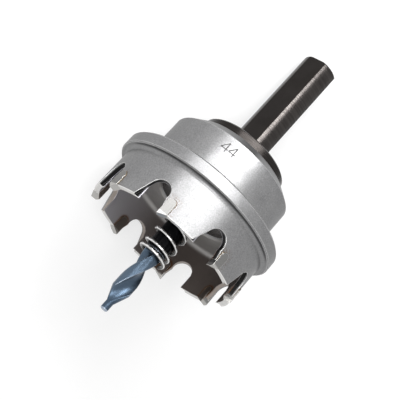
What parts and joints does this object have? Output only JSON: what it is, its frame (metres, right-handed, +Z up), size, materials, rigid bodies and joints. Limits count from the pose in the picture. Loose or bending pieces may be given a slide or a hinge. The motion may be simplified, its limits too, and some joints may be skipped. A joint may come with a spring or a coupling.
{
  "type": "hole saw",
  "caption": "Flanged hole saw with brazed cutting tips, a pilot drill in an ejector spring and a three-flat shank, lying on its side.",
  "frame": {"origin": "on the floor under the middle of the box round the saw as it lies", "axes": "+Z up, +X along the saw from the pilot drill to the shank, seen from above"},
  "size_m": [0.0818, 0.0468, 0.0478],
  "materials": {
    "satin_steel": "fine blasted",
    "black_oxide": "black oxide, semi-gloss",
    "carbide": "ground",
    "blued_steel": "ground, blue-grey",
    "spring_steel": "drawn wire, bright"
  },
  "bodies": {
    "root": {"saw_body": "satin_steel", "arbor": "black_oxide", "pilot_drill": "blued_steel", "set_screw": "black_oxide", "ejector_spring": "spring_steel", "carbide_tip_1": "carbide", "carbide_tip_2": "carbide", "carbide_tip_3": "carbide", "carbide_tip_4": "carbide", "carbide_tip_5": "carbide", "carbide_tip_6": "carbide", "carbide_tip_7": "carbide", "carbide_tip_8": "carbide"}
  },
  "joints": []
}
